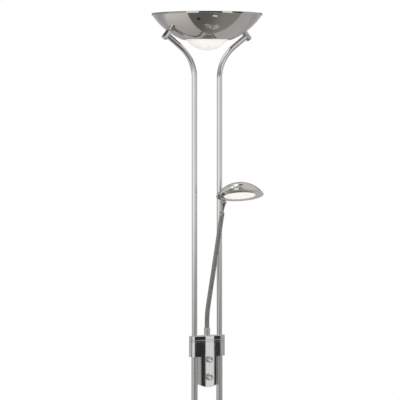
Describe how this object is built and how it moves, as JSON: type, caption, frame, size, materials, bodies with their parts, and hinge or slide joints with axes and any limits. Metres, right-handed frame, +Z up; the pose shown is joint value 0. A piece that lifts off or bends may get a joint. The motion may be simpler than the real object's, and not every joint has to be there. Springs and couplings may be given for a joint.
{
  "type": "floor lamp",
  "caption": "Uplighter floor lamp: round weighted base, bent chrome poles, shallow metal bowl over an opal glass dome, oval dimmer housing and a domed reading head on a flexible arm.",
  "frame": {"origin": "centre of the base on the floor", "axes": "+X along the line of the two poles, towards the one on the right when the knobs are seen from the front; -Y is the front with the knobs; +Z up"},
  "size_m": [0.28, 0.28, 1.8],
  "materials": {
    "chrome": "polished chrome plate",
    "chrome_plastic": "chrome-plated moulding",
    "satin_steel": "dull nickel-plated flexible tube",
    "zinc_steel": "zinc-plated steel",
    "aluminium": "bright aluminium",
    "cast_iron": "painted casting",
    "opal_glass": "satin opal glass",
    "clear_glass": "clear glass",
    "ceramic": "plain ceramic",
    "dark_plastic": "moulded",
    "circuit_board": "bare board",
    "rubber": "moulded",
    "felt": "felt pad"
  },
  "bodies": {
    "stand": {"base_pad": "felt", "base_weight": "cast_iron", "base_cover": "chrome", "cord_grommet": "rubber", "foot_collars": "chrome", "foot_spigots": "zinc_steel", "foot_nuts": "zinc_steel", "lower_pole_left": "chrome", "lower_pole_right": "chrome", "middle_pole_left": "chrome", "middle_pole_right": "chrome", "pole_couplers": "zinc_steel", "pole_reducers": "zinc_steel", "upper_pole_left": "chrome", "upper_pole_right": "chrome", "housing_front": "chrome_plastic", "housing_back": "chrome_plastic", "housing_ring": "chrome", "housing_cap": "chrome", "housing_screws": "zinc_steel", "dimmer_board": "circuit_board", "dimmer_pots": "dark_plastic", "dimmer_nuts": "zinc_steel", "arm_ferrule": "chrome", "arm_nut": "zinc_steel", "arm_root": "satin_steel", "barrel_left": "chrome", "barrel_right": "chrome", "barrel_caps": "chrome", "bowl_nipples": "zinc_steel", "bowl_washers": "zinc_steel", "bowl_nuts": "zinc_steel", "bowl": "chrome", "glass_dome": "opal_glass", "lamp_bracket": "zinc_steel", "bracket_nuts": "zinc_steel", "lampholders": "ceramic", "halogen_lamp": "clear_glass", "safety_glass": "clear_glass", "glass_clips": "zinc_steel"},
    "upper_knob": {"knob_upper": "chrome_plastic", "dimmer_shaft_upper": "aluminium"},
    "lower_knob": {"knob_lower": "chrome_plastic", "dimmer_shaft_lower": "aluminium"},
    "arm_link_1": {"arm_tube_1": "satin_steel"},
    "arm_link_2": {"arm_tube_2": "satin_steel"},
    "arm_link_3": {"arm_tube_3": "satin_steel"},
    "arm_link_4": {"arm_tube_4": "satin_steel"},
    "arm_link_5": {"arm_tube_5": "satin_steel"},
    "arm_tip": {"arm_tube_6": "satin_steel", "head_neck": "chrome"},
    "reading_head": {"head_stem": "zinc_steel", "head_shell": "chrome", "head_ring": "chrome", "head_diffuser": "opal_glass", "diffuser_clips": "zinc_steel", "head_reflector": "aluminium", "head_lampholder": "ceramic", "head_lamp": "clear_glass"}
  },
  "joints": [
    {"name": "upper_dimmer", "type": "hinge", "parent": "stand", "child": "upper_knob", "pos_m": [0, -0.0181, 0.924], "axis": [0, 1, 0], "range_deg": [0, 300]},
    {"name": "lower_dimmer", "type": "hinge", "parent": "stand", "child": "lower_knob", "pos_m": [0, -0.0181, 0.879], "axis": [0, 1, 0], "range_deg": [0, 300]},
    {"name": "arm_forward_1", "type": "hinge", "parent": "stand", "child": "arm_link_1", "pos_m": [0, 0, 1.018], "axis": [1, 0, 0], "range_deg": [0, 20]},
    {"name": "arm_sideways_1", "type": "hinge", "parent": "arm_link_1", "child": "arm_link_2", "pos_m": [0.0028, -0.00252, 1.06345], "axis": [0, 1, 0], "range_deg": [-20, 8]},
    {"name": "arm_forward_2", "type": "hinge", "parent": "arm_link_2", "child": "arm_link_3", "pos_m": [0.00805, -0.00725, 1.10856], "axis": [1, 0, 0], "range_deg": [0, 20]},
    {"name": "arm_sideways_2", "type": "hinge", "parent": "arm_link_3", "child": "arm_link_4", "pos_m": [0.0133, -0.01197, 1.15367], "axis": [0, 1, 0], "range_deg": [-20, 8]},
    {"name": "arm_forward_3", "type": "hinge", "parent": "arm_link_4", "child": "arm_link_5", "pos_m": [0.01854, -0.0167, 1.19878], "axis": [1, 0, 0], "range_deg": [0, 20]},
    {"name": "arm_sideways_3", "type": "hinge", "parent": "arm_link_5", "child": "arm_tip", "pos_m": [0.02379, -0.02142, 1.24389], "axis": [0, 1, 0], "range_deg": [-20, 8]},
    {"name": "head_tilt", "type": "hinge", "parent": "arm_tip", "child": "reading_head", "pos_m": [0.03312, -0.02982, 1.32407], "axis": [0.9063, -0.4227, 0], "range_deg": [-15, 50]}
  ],
  "couplings": [
    {"joint": "arm_forward_2", "follows": "arm_forward_1", "ratio": 1},
    {"joint": "arm_forward_3", "follows": "arm_forward_1", "ratio": 1},
    {"joint": "arm_sideways_2", "follows": "arm_sideways_1", "ratio": 1},
    {"joint": "arm_sideways_3", "follows": "arm_sideways_1", "ratio": 1}
  ]
}
